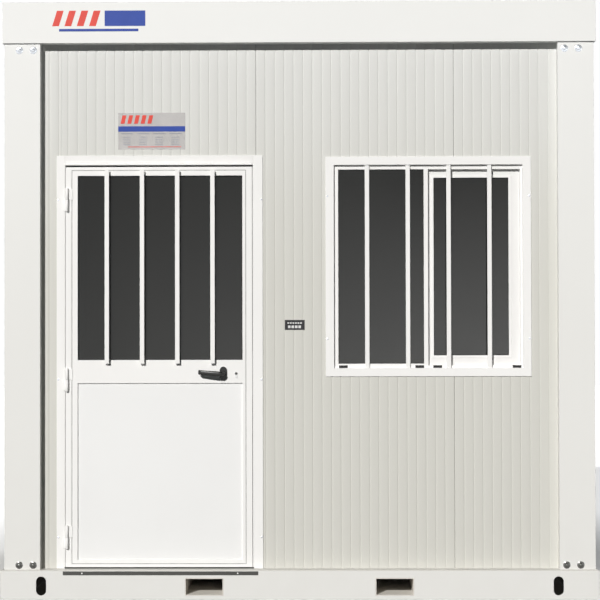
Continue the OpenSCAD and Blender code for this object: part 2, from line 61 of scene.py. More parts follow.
# The way sunlight travels, and the wide fill from behind the cabin
SUN_TRAVEL = (0.36, 1.0, -0.51)
FILL_TRAVEL = (-0.55, -1.0, -0.5)

# Distances from the cabin's middle over which the floor turns white
FLOOR_DULL = 1.9
FLOOR_WHITE = 3.6

# Wall panels
RIB_PITCH = 1.0 / 21
GROOVE_W = 0.010
GROOVE_DEEP = 0.0016
FLAT_ARCH = 0.0005
FLAT_STEPS = 6
MODULE = 1.0
JOINT = 0.0015
LIP = 0.0012

# Bolts at the ends of the corner posts
WASHER_R = 0.0185
WASHER_T = 0.0025
HEX_R = 0.0115
HEX_H = 0.0075
BOLT_FROM_EDGE = (0.035, 0.105)
BOLT_FROM_TOP = 0.034
BOLT_FROM_FOOT = 0.023
POST_FLANGE = 0.180

# Turned profiles of the roof screws: cup washer and hexagon head, as (radius, height)
ROOF_WASHER = ((0.010, 0), (0.010, 0.0015), (0.0075, 0.003), (0.0074, 0.0035))
ROOF_HEAD = ((0.0048, 0), (0.0048, 0.0035), (0.0038, 0.0045))
ROOF_RIB_PITCH = 0.25
ROOF_SCREW_PITCH = 0.36
ROOF_SCREW_ROWS = 3

# Height against which the painted shade towards the ground is measured
TOP = 3.0

# Small fixings and trims
SCREW_R = 0.0045
SCREW_H = 0.0025
HINGE_SCREW_IN = 0.008
LOCK_SCREW_IN = 0.006
WINDOW_SCREW_IN = 0.009
WINDOW_SCREW_UP = 0.19
WINDOW_SCREW_DOWN = 0.20
STRIP_SCREW_R = 0.0038
STRIP_SCREW_H = 0.0006
STRIP_SCREW_LEFT = 0.096
STRIP_SCREW_RIGHT = 0.103
STRIP_MIDDLE = 0.0155

# Door: gaps beside the leaf, the beads that narrow them, and the hinges
HINGE_GAP = 0.005
LOCK_GAP = 0.007
HINGE_BEAD = 0.003
LOCK_BEAD = 0.0045
BEAD_DEEP = 0.006
BEAD_IN = 0.0303
BEAD_UP = 0.0153
BEAD_W = 0.0034
HINGE_HEIGHTS = (0.151, 0.945, 1.855)
HINGE_HALF = 0.055
KNUCKLE_R = 0.008
STOP_SEAL_W = 0.0105
STOP_SEAL_END = 0.0445
GASKET_W = 0.004
GASKET_T = 0.003
INSIDE_BEAD_W = 0.012

# Lever: its middle line, and its section at the neck, along the grip and at the tip
LEVER_STRAIGHT = 0.032
LEVER_BEND = 0.016
LEVER_LENGTH = 0.120
LEVER_TAIL = 0.011
LEVER_BOW = 0.010
NECK_ACROSS = 0.0185
GRIP_THICK = 0.0145
GRIP_HIGH = 0.0255
GRIP_SQUARE = 0.18
GRIP_START = 0.004
GRIP_GROWS = 0.02
TIP_START = 0.03
TIP_THINNER = 0.0015
TIP_LOWER = 0.0025
TIP_LIFT = 0.007
TIP_ROUNDING = ((0.86, 0.0022), (0.6, 0.0038), (0.25, 0.0046))
COLLAR = ((0.0098, -0.001), (0.0135, -0.001), (0.0135, 0.001), (0.012, 0.0022), (0.0098, 0.0022))

# Lock: cylinder, faceplate on the leaf and strike plate on the jamb
CASE_IN = 0.0008
PLUG = ((0.0066, 0), (0.0066, 0.0012), (0.0058, 0.0016))
PLUG_IN = 0.0012
# Key slot: a black mark painted as the shade in its hollow
KEY_SLOT_W = 0.0018
KEY_SLOT_DOWN = 0.0045
KEY_SLOT_UP = 0.0035
KEY_SLOT_OUT = (0.0001, 0.0006)
FACEPLATE_W = 0.022
FACEPLATE_HALF = 0.11
FACEPLATE_T = 0.0018
LATCH_W = 0.014
LATCH_DOWN = 0.032
LATCH_UP = 0.012
LATCH_OUT = 0.0014
STRIKE_W = 0.026
STRIKE_T = 0.0015
STRIKE_EDGE = 0.005
STRIKE_HALF = 0.10
STRIKE_BRIDGES = ((-0.10, -0.045), (-0.012, -0.004), (0.03, 0.10))

# Window: the flange, the fixed light's members, and the sash's stiles and rails
WINDOW_FLANGE = 0.028
LIGHT_W = 0.022
SASH_STILE = 0.051
SASH_END = 0.068
SASH_RAIL = 0.059
SASH_BEAD_W = 0.012
SASH_BEAD_T = 0.0022
PANE_GASKET_W = 0.003
PANE_GASKET_OUT = 0.005
PANE_HALF = 0.0025
TRACK_FOOT = 0.014
TRACK_END = 0.012
# Drain slots, drawn as black marks of painted shade: their size, and where they stand
SLOT_W = 0.044
SLOT_H = 0.013
SLOT_T = 0.0012
SLOT_UP = 0.0072
SLOT_FROM_LEFT = 0.046
SLOT_FROM_MIDDLE = 0.0445
SLOT_FROM_RIGHT = 0.030
PULL_PLATE = (0.022, 0.12, 0.003)
PULL_GRIP = (0.010, 0.07, 0.014)
PULL_SHARE = 0.62

# Mark on the roof beam, measured from the beam's left end and top edge
MARK_LEFT = 0.252
MARK_TOP = 0.042
MARK_H = 0.078
MARK_T = 0.0006
MARK_BARS = 4
MARK_BAR_PITCH = 0.062
MARK_BAR_W = 0.034
MARK_BAR_LEAN = 0.024
MARK_BLOCK = (0.265, 0.470)
MARK_LINE = (0.035, 0.435)
MARK_LINE_TOP = 0.092
MARK_LINE_FOOT = 0.105

# Notice over the door: its sheet, and how far sheet and print stand out
NOTICE_X = (-0.915, -0.575)
NOTICE_Z = (2.262, 2.448)
SHEET_OUT = 0.0004
PRINT_OUT = 0.0009

# Small plate between door and window
PLATE_X = (-0.072, 0.028)
PLATE_Z = (1.347, 1.397)
PLATE_BACK = 0.0002
PLATE_FACE = 0.0012
PLATE_MARK = 0.0016

# Strengths of the lights, and the brightness that smooth surfaces mirror by direction
KEY_STRENGTH = 3.51
KEY_SOFT = 0.8
FILL_STRENGTH = 1.6
FILL_SOFT = 25.0
GLOW_STRENGTH = 0.04
FLOOR_GLOW = 0.45
FLOOR_REACH = 30.0
MIRRORED = (("Z", -0.02, 0.09, 1.0, 0.0), ("X", -0.12, 0.12, 0.5, 2.1), ("Z", 0.1, 0.8, 0.9, 0.25))

X = Vector((1, 0, 0))
Y = Vector((0, 1, 0))
Z = Vector((0, 0, 1))

# ---------------------------------------------------------------- mesh helpers


def piece(name, bm, body, material, bevel=None, sharp=30):
    """Turns a bmesh into a piece that rides on a body."""
    bmesh.ops.recalc_face_normals(bm, faces=bm.faces)
    mesh = bpy.data.meshes.new(name)
    bm.to_mesh(mesh)
    bm.free()
    mesh.shade_smooth()
    mesh.set_sharp_from_angle(angle=math.radians(sharp))
    obj = bpy.data.objects.new(name, mesh)
    SCENE.collection.objects.link(obj)
    mesh.materials.append(material)
    if bevel:
        add_bevel(obj, bevel)
    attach(obj, body)
    return obj


def add_bevel(obj, width, segments=2):
    """Rounds the sharp edges of an object by a modifier."""
    bevel = obj.modifiers.new("edges", "BEVEL")
    bevel.width = width
    bevel.segments = segments
    bevel.limit_method = "ANGLE"
    bevel.angle_limit = math.radians(40)
    bevel.harden_normals = True


def slab(bm, lo, hi):
    """Closed box between two corners."""
    corners = [bm.verts.new((x, y, z)) for x in (lo[0], hi[0])
               for y in (lo[1], hi[1]) for z in (lo[2], hi[2])]
    for quad in ((0, 1, 3, 2), (4, 6, 7, 5), (0, 4, 5, 1), (2, 3, 7, 6), (0, 2, 6, 4), (1, 5, 7, 3)):
        bm.faces.new([corners[i] for i in quad])


def loft(bm, rings, cap=True):
    """Skin over rings of points that all have the same count."""
    made = [[bm.verts.new(p) for p in ring] for ring in rings]
    count = len(made[0])
    for a, b in zip(made, made[1:]):
        for i in range(count):
            j = (i + 1) % count
            bm.faces.new((a[i], a[j], b[j], b[i]))
    if cap:
        bm.faces.new(made[0])
        bm.faces.new(made[-1])


def lathe(bm, at, axis, profile, sides=20):
    """Turned shape: profile lists (radius, distance along the axis); both ends are closed."""
    axis = Vector(axis).normalized()
    across = axis.orthogonal().normalized()
    up = axis.cross(across)
    rings = []
    for radius, along in profile:
        ring = []
        for i in range(sides):
            a = 2 * math.pi * i / sides
            spoke = across * math.cos(a) + up * math.sin(a)
            ring.append(Vector(at) + axis * along + spoke * max(radius, 0.0002))
        rings.append(ring)
    loft(bm, rings)


def picture_ring(bm, x0, x1, z0, z1, w, y0, y1):
    """Mitred frame of width w, inside the rectangle x0..x1, z0..z1."""
    def corners(d, y):
        return [(x0 + d, y, z0 + d), (x1 - d, y, z0 + d), (x1 - d, y, z1 - d), (x0 + d, y, z1 - d)]
    loops = [corners(0, y0), corners(w, y0), corners(w, y1), corners(0, y1)]
    made = [[bm.verts.new(p) for p in loop] for loop in loops]
    for k in range(4):
        a, b = made[k], made[(k + 1) % 4]
        for i in range(4):
            j = (i + 1) % 4
            bm.faces.new((a[i], a[j], b[j], b[i]))


def stadium(x, z, w, h, steps=8):
    """Outline of a bar with round ends, as (x, z) points round its middle."""
    r = min(w, h) / 2
    dx, dz = w / 2 - r, h / 2 - r
    points = []
    for k, (sx, sz) in enumerate(((1, 1), (-1, 1), (-1, -1), (1, -1))):
        for i in range(steps + 1):
            a = math.pi / 2 * (k + i / steps)
            points.append((x + sx * dx + r * math.cos(a), z + sz * dz + r * math.sin(a)))
    return points


def extrude_outline(bm, outline, y0, y1):
    """Plate with an outline in x and z, between two depths."""
    loft(bm, [[(x, y0, z) for x, z in outline], [(x, y1, z) for x, z in outline]])


# ---------------------------------------------------------------- materials


class Nodes:
    """Short names for the shader nodes that the materials share."""

    def __init__(self, name):
        self.material = bpy.data.materials.new(name)
        self.material.use_nodes = True
        self.tree = self.material.node_tree
        self.shader = self.tree.nodes["Principled BSDF"]
        self.where = self.tree.nodes.new("ShaderNodeTexCoord").outputs["Object"]

    def link(self, a, b):
        """Joins an output to an input."""
        self.tree.links.new(a, b)

    def noise(self, scale, detail=4.0, stretch=(1, 1, 1)):
        """Soft noise over the piece, finer along an axis whose stretch is larger."""
        mapping = self.tree.nodes.new("ShaderNodeMapping")
        mapping.inputs["Scale"].default_value = stretch
        self.link(self.where, mapping.inputs["Vector"])
        node = self.tree.nodes.new("ShaderNodeTexNoise")
        node.inputs["Scale"].default_value = scale
        node.inputs["Detail"].default_value = detail
        self.link(mapping.outputs["Vector"], node.inputs["Vector"])
        return node.outputs["Fac"]

    def cells(self, scale):
        """One random colour in each small cell."""
        node = self.tree.nodes.new("ShaderNodeTexVoronoi")
        node.inputs["Scale"].default_value = scale
        self.link(self.where, node.inputs["Vector"])
        return node.outputs["Color"]

    def span(self, value, low, high, start=0.3, end=0.7):
        """The value mapped from start..end to low..high, and held beyond its ends."""
        node = self.tree.nodes.new("ShaderNodeMapRange")
        for key, number in (("From Min", start), ("From Max", end), ("To Min", low), ("To Max", high)):
            node.inputs[key].default_value = number
        self.link(value, node.inputs["Value"])
        return node.outputs["Result"]

    def ramp(self, value, *stops):
        """Colour that follows the value through stops of (place, colour)."""
        node = self.tree.nodes.new("ShaderNodeValToRGB")
        node.color_ramp.elements.remove(node.color_ramp.elements[1])
        for i, (place, colour) in enumerate(stops):
            stop = node.color_ramp.elements[0] if i == 0 else node.color_ramp.elements.new(place)
            stop.position = place
            stop.color = (*colour, 1)
        self.link(value, node.inputs["Fac"])
        return node.outputs["Color"]

    def mix(self, factor, a, b):
        """Colour a where the factor is 0, and b where it is 1."""
        node = self.tree.nodes.new("ShaderNodeMix")
        node.data_type = "RGBA"
        self.link(factor, node.inputs["Factor"])
        self.link(a, node.inputs[6])
        if isinstance(b, tuple):
            node.inputs[7].default_value = (*b, 1)
        else:
            self.link(b, node.inputs[7])
        return node.outputs[2]

    def height(self):
        """Height above the ground."""
        node = self.tree.nodes.new("ShaderNodeSeparateXYZ")
        self.link(self.where, node.inputs["Vector"])
        return node.outputs["Z"]

    def distance(self):
        """Distance from the cabin's middle."""
        node = self.tree.nodes.new("ShaderNodeVectorMath")
        node.operation = "LENGTH"
        self.link(self.where, node.inputs[0])
        return node.outputs["Value"]

    def upward(self):
        """How far a face looks up: 1 on top, 0 on a wall."""
        geometry = self.tree.nodes.new("ShaderNodeNewGeometry")
        node = self.tree.nodes.new("ShaderNodeSeparateXYZ")
        self.link(geometry.outputs["Normal"], node.inputs["Vector"])
        return node.outputs["Z"]

    def times(self, a, b):
        """Product of two values."""
        node = self.tree.nodes.new("ShaderNodeMath")
        node.operation = "MULTIPLY"
        self.link(a, node.inputs[0])
        self.link(b, node.inputs[1])
        return node.outputs["Value"]

    def bump(self, value, strength, distance):
        """Fine relief from a value."""
        node = self.tree.nodes.new("ShaderNodeBump")
        node.inputs["Strength"].default_value = strength
        node.inputs["Distance"].default_value = distance
        self.link(value, node.inputs["Height"])
        self.link(node.outputs["Normal"], self.shader.inputs["Normal"])

    def set(self, **values):
        """Uniform values of the shader's own sockets."""
        for key, value in values.items():
            self.shader.inputs[key.replace("_", " ")].default_value = value


def shade(colour, k):
    """The colour made k times as bright."""
    return tuple(min(1.0, c * k) for c in colour)


def painted(name, colour, rough=0.42, mottle=0.015, streak=(1, 1, 1), dust=0.0, gloss=0.2,
            shaded_low=None, shade_stops=(), shaded_top=None):
    """Sprayed paint: faint mottling, orange peel, and dust that thickens towards the ground.

    The colour turns darker towards the ground, by stops of (height in metres, share): painted
    shade for the weaker light low down. It turns darker on faces that look up as well: painted
    shade that tones down the light on them.
    """
    n = Nodes(name)
    base = n.ramp(n.noise(1.7, stretch=streak), (0.3, shade(colour, 1 - mottle)),
                  (0.7, shade(colour, 1 + mottle)))
    # Painted shade: the colour darkens towards the ground, for the weaker light low down
    if shaded_low:
        share = n.ramp(n.span(n.height(), 0.0, 1.0, start=0.0, end=TOP),
                       *((z / TOP, (k, k, k)) for z, k in shade_stops))
        base = n.mix(share, base, shaded_low)
    # Painted shade: faces that look up turn darker, to tone down the sunlight on them
    if shaded_top:
        base = n.mix(n.span(n.upward(), 0.0, 1.0, start=0.35, end=0.75), base, shaded_top)
    if dust:
        low = n.span(n.height(), dust, 0.0, start=0.1, end=0.9)
        patches = n.span(n.noise(9.0, detail=6), 0.35, 1.0)
        base = n.mix(n.times(low, patches), base, (0.42, 0.38, 0.31))
    n.link(base, n.shader.inputs["Base Color"])
    n.link(n.span(n.noise(5.0), rough - 0.05, rough + 0.05), n.shader.inputs["Roughness"])
    n.bump(n.noise(420.0, detail=2), 0.25, 0.00025)
    n.set(Specular_IOR_Level=gloss)
    return n.material


def galvanised(name, colour, rough=0.42, uneven=0.2):
    """Zinc coat with its spangle; uneven is the strength of its fine relief."""
    n = Nodes(name)
    spangle = n.cells(90.0)
    n.link(n.mix(n.span(n.noise(30.0), 0.2, 0.8), n.ramp(spangle, (0.0, shade(colour, 0.8)),
           (1.0, shade(colour, 1.2))), colour), n.shader.inputs["Base Color"])
    n.link(n.span(n.noise(60.0), rough - 0.1, rough + 0.1), n.shader.inputs["Roughness"])
    n.bump(n.noise(250.0), uneven, 0.0002)
    n.set(Metallic=0.9)
    return n.material


def brushed(name, colour, rough=0.3):
    """Metal with fine brush lines."""
    n = Nodes(name)
    lines = n.noise(300.0, stretch=(1, 1, 14))
    n.link(n.ramp(lines, (0.3, shade(colour, 0.9)), (0.7, shade(colour, 1.1))),
           n.shader.inputs["Base Color"])
    n.link(n.span(lines, rough - 0.06, rough + 0.08), n.shader.inputs["Roughness"])
    n.bump(lines, 0.15, 0.0001)
    n.set(Metallic=1.0)
    return n.material


def moulded(name, colour, rough=0.35, grain=700.0, gloss=0.25):
    """Moulded plastic or rubber with a fine grain."""
    n = Nodes(name)
    n.link(n.ramp(n.noise(25.0), (0.3, shade(colour, 0.85)), (0.7, shade(colour, 1.15))),
           n.shader.inputs["Base Color"])
    n.link(n.span(n.noise(60.0), rough - 0.06, rough + 0.06), n.shader.inputs["Roughness"])
    n.bump(n.noise(grain, detail=2), 0.3, 0.0001)
    n.set(Specular_IOR_Level=gloss)
    return n.material


def tinted(name):
    """Dark window glass: the room behind shows through faintly, with a film of dust."""
    n = Nodes(name)
    film = n.noise(3.0, detail=6, stretch=(1, 1, 0.5))
    n.link(n.ramp(film, (0.3, (0.006, 0.0065, 0.006)), (0.75, (0.011, 0.0115, 0.0105))),
           n.shader.inputs["Base Color"])
    n.link(n.span(n.noise(8.0), 0.03, 0.09), n.shader.inputs["Roughness"])
    n.set(Alpha=0.8, IOR=1.5)
    return n.material


def plywood(name):
    """Birch board: long grain across darker figure."""
    n = Nodes(name)
    grain = n.noise(14.0, detail=8, stretch=(1, 12, 12))
    n.link(n.ramp(grain, (0.3, (0.36, 0.23, 0.12)), (0.7, (0.56, 0.40, 0.24))),
           n.shader.inputs["Base Color"])
    n.link(n.span(grain, 0.6, 0.75), n.shader.inputs["Roughness"])
    n.bump(grain, 0.2, 0.0004)
    return n.material


def vinyl(name):
    """Speckled sheet floor."""
    n = Nodes(name)
    chips = n.ramp(n.cells(220.0), (0.0, (0.16, 0.17, 0.18)), (0.6, (0.24, 0.25, 0.26)),
                   (1.0, (0.36, 0.37, 0.38)))
    n.link(chips, n.shader.inputs["Base Color"])
    n.link(n.span(n.noise(6.0), 0.38, 0.5), n.shader.inputs["Roughness"])
    n.bump(n.noise(180.0), 0.2, 0.0003)
    return n.material


def printed(name, colour, alpha=1.0):
    """Printed film, a little uneven and faded."""
    n = Nodes(name)
    n.link(n.ramp(n.noise(12.0), (0.3, shade(colour, 0.94)), (0.7, shade(colour, 1.06))),
           n.shader.inputs["Base Color"])
    n.link(n.span(n.noise(40.0), 0.3, 0.42), n.shader.inputs["Roughness"])
    n.bump(n.noise(90.0), 0.15, 0.0002)
    n.set(Alpha=alpha, Specular_IOR_Level=0.2)
    return n.material


# Painted shade: frame paint and panel skin darken towards the ground, and the frame paint on faces
# that look up
PAINT = painted("frame_paint", (0.875, 0.878, 0.866), dust=0.06, shaded_low=(0.800, 0.797, 0.775),
                shade_stops=((0.2, 1.0), (1.3, 0.9), (2.0, 0.55), (2.8, 0.0)), shaded_top=(0.60, 0.59, 0.56))
TUNNEL = painted("tunnel_paint", (0.76, 0.73, 0.68), rough=0.6, mottle=0.04, dust=0.1)
SKIN = painted("panel_skin", (0.718, 0.722, 0.704), rough=0.5, streak=(9, 9, 0.3), dust=0.06,
               shaded_low=(0.640, 0.636, 0.594), shade_stops=((1.6, 1.0), (2.0, 0.8), (2.4, 0.28), (2.75, 0.0)))
WHITE = painted("white_aluminium", (0.90, 0.895, 0.885), rough=0.38, dust=0.03)
# Darker whites for the door head and the sash: painted shade that cancels light bounced into them
HEAD_SHADED_WHITE = painted("white_head_painted_shade", (0.85, 0.845, 0.835), rough=0.38)
SASH_SHADED_WHITE = painted("white_sash_painted_shade", (0.83, 0.825, 0.815), rough=0.38)
INFILL = painted("white_infill", (0.865, 0.867, 0.865), rough=0.5, dust=0.03)
ROOF = painted("roof_sheet", (0.66, 0.67, 0.66), rough=0.5, dust=0.0, mottle=0.05)
DARK = painted("dark_steel", (0.085, 0.085, 0.08), rough=0.5, mottle=0.1)
ZINC = galvanised("galvanised_steel", (0.45, 0.47, 0.48))
BOLT = galvanised("plated_bolt", (0.64, 0.67, 0.72), rough=0.2)
STEEL = galvanised("dull_bolt", (0.15, 0.15, 0.145), rough=0.22, uneven=0.9)
METAL = brushed("brushed_metal", (0.55, 0.55, 0.55))
BLACK = moulded("black_plastic", (0.016, 0.016, 0.016), rough=0.3, gloss=0.35)
RUBBER = moulded("black_rubber", (0.02, 0.02, 0.021), rough=0.6)
# Grey of the strip in the leaf's groove: partly a seal's colour, partly painted shade
LINE = moulded("grey_seal_and_groove_shade", (0.46, 0.46, 0.45), rough=0.6)
GLASS = tinted("tinted_glass")
RED = printed("printed_red", (0.76, 0.085, 0.065))
BLUE = printed("printed_blue", (0.035, 0.075, 0.36))
GREY = printed("printed_grey", (0.30, 0.31, 0.36))
FILM = printed("clear_film", (0.72, 0.70, 0.70), alpha=0.45)
PLATE = printed("plate_black", (0.03, 0.03, 0.033))
PALE = printed("plate_pale", (0.7, 0.7, 0.7))

BY_SLOT = {
    "frame_paint": (PAINT, 0.0013),
    "panel_skin": (SKIN, None),
    "roof_sheet": (ROOF, 0.002),
    "white_aluminium": (WHITE, 0.0012),
    "galvanised_steel": (ZINC, None),
    "dark_steel": (DARK, 0.0005),
    "brushed_metal": (METAL, 0.0006),
    "black_plastic": (BLACK, 0.0022),
    "tinted_glass": (GLASS, None),
    "floor_plywood": (plywood("floor_plywood"), None),
    "floor_vinyl": (vinyl("floor_vinyl"), None),
}

# Finishes of some nodes' own; those of the door head and the sash are painted shade
OWN_FINISH_AND_SHADE = {"door_lower_panel": INFILL, "fork_tunnels": TUNNEL, "door_head": HEAD_SHADED_WHITE,
              "window_sliding_sash": SASH_SHADED_WHITE}


def dress_cad_nodes():
    """Gives each CAD node the material of its slot, and softens its edges."""
    for name, obj in NODES.items():
        slot = obj.material_slots[0].name.split(".")[0]
        material, bevel = BY_SLOT[slot]
        obj.data.materials.clear()
        obj.data.materials.append(OWN_FINISH_AND_SHADE.get(name, material))
        if bevel:
            weld = obj.modifiers.new("weld", "WELD")
            weld.merge_threshold = 1e-5
            flat = obj.modifiers.new("flat", "DECIMATE")
            flat.decimate_type = "DISSOLVE"
            flat.angle_limit = math.radians(0.5)
            add_bevel(obj, bevel)


# ---------------------------------------------------------------- wall panels


def skin_profile(u0, u1, first_groove, breaks=()):
    """Points (distance along the wall, depth behind the face) of a panel's ribbed skin."""
    near = 1e-5

    def depth(u):
        t = (u - first_groove) % RIB_PITCH
        t = min(t, RIB_PITCH - t)
        if t < GROOVE_W / 2:
            return FLAT_ARCH + GROOVE_DEEP * (1 - t / (GROOVE_W / 2))
        half = RIB_PITCH / 2
        reach = (half - t) / (half - GROOVE_W / 2)
        return FLAT_ARCH * reach * reach

    us = {u0, u1, *breaks}
    k = math.floor((u0 - first_groove) / RIB_PITCH) - 1
    while first_groove + k * RIB_PITCH < u1 + RIB_PITCH:
        groove = first_groove + k * RIB_PITCH
        flat = RIB_PITCH - GROOVE_W
        steps = [groove + GROOVE_W / 2 + flat * i / FLAT_STEPS for i in range(FLAT_STEPS + 1)]
        us.update(u for u in (groove, *steps) if u0 + near < u < u1 - near)
        k += 1
    us = sorted(us)
    us = [u for i, u in enumerate(us) if i == 0 or u - us[i - 1] > near]
    profile = [[u, depth(u)] for u in us]
    for end in (0, -1):
        profile[end][1] = max(profile[end][1], LIP)
    return profile


def ribbed_panel(bm, origin, along, outward, u0, u1, z0, z1, thick, first_groove, hole=None):
    """One closed panel with a ribbed outer skin; hole is (u0, u1, z0, z1) or None."""
    breaks, zs = [], [z0, z1]
    if hole:
        breaks = [u for u in hole[:2] if u0 < u < u1]
        zs = sorted({z0, z1, hole[2], hole[3]})
    profile = skin_profile(u0, u1, first_groove, breaks)
    verts = {}

    def vert(i, j, inner):
        key = (i, j, inner)
        if key not in verts:
            u, deep = profile[i]
            back = thick if inner else deep
            p = origin + along * u - outward * back
            verts[key] = bm.verts.new((p.x, p.y, zs[j]))
        return verts[key]

    def there(i, j):
        if not (0 <= i < len(profile) - 1 and 0 <= j < len(zs) - 1):
            return False
        if not hole:
            return True
        u = (profile[i][0] + profile[i + 1][0]) / 2
        z = (zs[j] + zs[j + 1]) / 2
        return not (hole[0] < u < hole[1] and hole[2] < z < hole[3])

    for i in range(len(profile) - 1):
        for j in range(len(zs) - 1):
            if not there(i, j):
                continue
            for inner in (False, True):
                corners = ((0, 0), (1, 0), (1, 1), (0, 1))
                bm.faces.new([vert(i + a, j + b, inner) for a, b in corners])
            sides = (((-1, 0), (0, 0), (0, 1)), ((1, 0), (1, 0), (1, 1)),
                     ((0, -1), (0, 0), (1, 0)), ((0, 1), (0, 1), (1, 1)))
            for (di, dj), a, b in sides:
                if not there(i + di, j + dj):
                    edge = ((a, False), (b, False), (b, True), (a, True))
                    bm.faces.new([vert(i + step[0], j + step[1], inner) for step, inner in edge])


def wall_run(node, origin, along, outward, length, z0, z1, thick):
    """A whole wall of panels side by side from the origin, in one piece; no sliver at its end."""
    bm = bmesh.new()
    start = 0.0
    while start < length - GROOVE_W:
        end = min(start + MODULE - JOINT, length)
        ribbed_panel(bm, origin, along, outward, start, end, z0, z1, thick, start)
        start += MODULE
    wall = piece(node + "_ribbed", bm, "cabin", SKIN, sharp=11)
    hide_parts(node)


def seals(name, origin, along, outward, places, z0, z1, thick):
    """Dark seals that close the joints between panels; places lists (distance, lows and highs)."""
    before, after = 0.004, 0.003
    front, back = thick * 0.25, thick * 0.9
    bm = bmesh.new()
    for u, spans in places:
        a = origin + along * (u - before) - outward * front
        b = origin + along * (u + after) - outward * back
        for low, high in spans or ((z0, z1),):
            slab(bm, (min(a.x, b.x), min(a.y, b.y), low), (max(a.x, b.x), max(a.y, b.y), high))
    piece(name, bm, "cabin", RUBBER, bevel=0.0003)


def build_walls():
    """Ribbed skins for the door side, the two ends and the back."""
    window_lo, window_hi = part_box("window_frame")
    hole = (window_lo.x + WINDOW_FLANGE, window_hi.x - WINDOW_FLANGE,
            window_lo.z + WINDOW_FLANGE, window_hi.z - WINDOW_FLANGE)
    right_lo, right_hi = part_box("front_panel_right")
    groove = right_lo.x
    for node in ("front_panel_beside_door", "front_panel_over_door", "front_panel_middle",
                 "front_panel_right"):
        lo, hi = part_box(node)
        bm = bmesh.new()
        touched = hole if hi.x > hole[0] else None
        ribbed_panel(bm, Vector((0, lo.y, 0)), X, -Y, lo.x, hi.x, lo.z, hi.z, hi.y - lo.y, groove,
                     touched)
        panel = piece(node + "_ribbed", bm, "cabin", SKIN, sharp=11)
        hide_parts(node)
    thick = right_hi.y - right_lo.y
    above_and_below = ((right_lo.z, hole[2]), (hole[3], right_hi.z))
    seals("front_joint_seals", Vector((0, right_lo.y, 0)), X, -Y,
          ((groove, above_and_below), (groove - MODULE, None)), right_lo.z, right_hi.z, thick)

    joints = ((MODULE, None), (2 * MODULE, None))
    lo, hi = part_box("left_wall_panels")
    corner = Vector((lo.x, lo.y, 0))
    wall_run("left_wall_panels", corner, Y, -X, hi.y - lo.y, lo.z, hi.z, thick)
    seals("left_joint_seals", corner, Y, -X, joints, lo.z, hi.z, thick)
    lo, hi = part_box("right_wall_panels")
    corner = Vector((hi.x, hi.y, 0))
    wall_run("right_wall_panels", corner, -Y, X, hi.y - lo.y, lo.z, hi.z, thick)
    seals("right_joint_seals", corner, -Y, X, joints, lo.z, hi.z, thick)
    lo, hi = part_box("back_wall_panels")
    corner = Vector((hi.x, hi.y, 0))
    wall_run("back_wall_panels", corner, -X, Y, hi.x - lo.x, lo.z, hi.z, thick)
    seals("back_joint_seals", corner, -X, Y, joints, lo.z, hi.z, thick)


# ---------------------------------------------------------------- fixings


def bolt(bm, at, out):
    """Sloping washer, chamfered hexagon head and a rounded end, pointing out of a face."""
    lathe(bm, at, out, [(WASHER_R, 0), (WASHER_R, 0.0006), (WASHER_R * 0.8, WASHER_T),
                        (HEX_R * 0.9, WASHER_T)],
          sides=28)
    foot = Vector(at) + Vector(out) * WASHER_T
    lathe(bm, foot, out, [(HEX_R, 0), (HEX_R, HEX_H * 0.35), (HEX_R * 0.62, HEX_H * 0.75)],
          sides=6)
    lathe(bm, foot, out, [(HEX_R * 0.62, HEX_H * 0.6), (HEX_R * 0.58, HEX_H * 0.85),
                          (HEX_R * 0.36, HEX_H), (HEX_R * 0.1, HEX_H * 1.02)],
          sides=18)


def screw(bm, at, out, r=SCREW_R, h=SCREW_H):
    """Low round head."""
    lathe(bm, at, out, [(r, 0), (r, h * 0.3), (r * 0.85, h * 0.75), (r * 0.5, h), (r * 0.12, h)],
          sides=14)


def build_post_bolts():
    """Two bolts at the top and two at the foot of each face of the corner posts."""
    for name in ("front_left", "front_right", "back_left", "back_right"):
        lo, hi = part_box("corner_post_" + name)
        sx = 1 if "right" in name else -1
        sy = 1 if "back" in name else -1
        face_x = hi.x if sx > 0 else lo.x
        face_y = hi.y if sy > 0 else lo.y
        levels = (("top", hi.z - BOLT_FROM_TOP, BOLT), ("foot", lo.z + BOLT_FROM_FOOT, STEEL))
        for level, z, finish in levels:
            bm = bmesh.new()
            for d in BOLT_FROM_EDGE:
                inward = POST_FLANGE - d
                bolt(bm, (face_x - sx * inward, face_y, z), (0, sy, 0))
                bolt(bm, (face_x, face_y - sy * inward, z), (sx, 0, 0))
            piece(f"post_bolts_{level}_{name}", bm, "cabin", finish)


def build_frame_screws():
    """Screws in the flanges of the door frame and of the window."""
    jamb_lo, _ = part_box("door_jamb_hinge_side")
    _, lock_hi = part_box("door_jamb_lock_side")
    leaf_lo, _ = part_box("door_leaf_frame")
    bm = bmesh.new()
    for height in HINGE_HEIGHTS:
        for x in (jamb_lo.x + HINGE_SCREW_IN, lock_hi.x - LOCK_SCREW_IN):
            screw(bm, (x, jamb_lo.y, leaf_lo.z + height), -Y)
    piece("door_frame_screws", bm, "cabin", BOLT)

    lo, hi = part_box("window_frame")
    bm = bmesh.new()
    for x in (lo.x + WINDOW_SCREW_IN, hi.x - WINDOW_SCREW_IN):
        for z in (lo.z + WINDOW_SCREW_UP, hi.z - WINDOW_SCREW_DOWN):
            screw(bm, (x, lo.y, z), -Y)
    piece("window_frame_screws", bm, "cabin", BOLT)


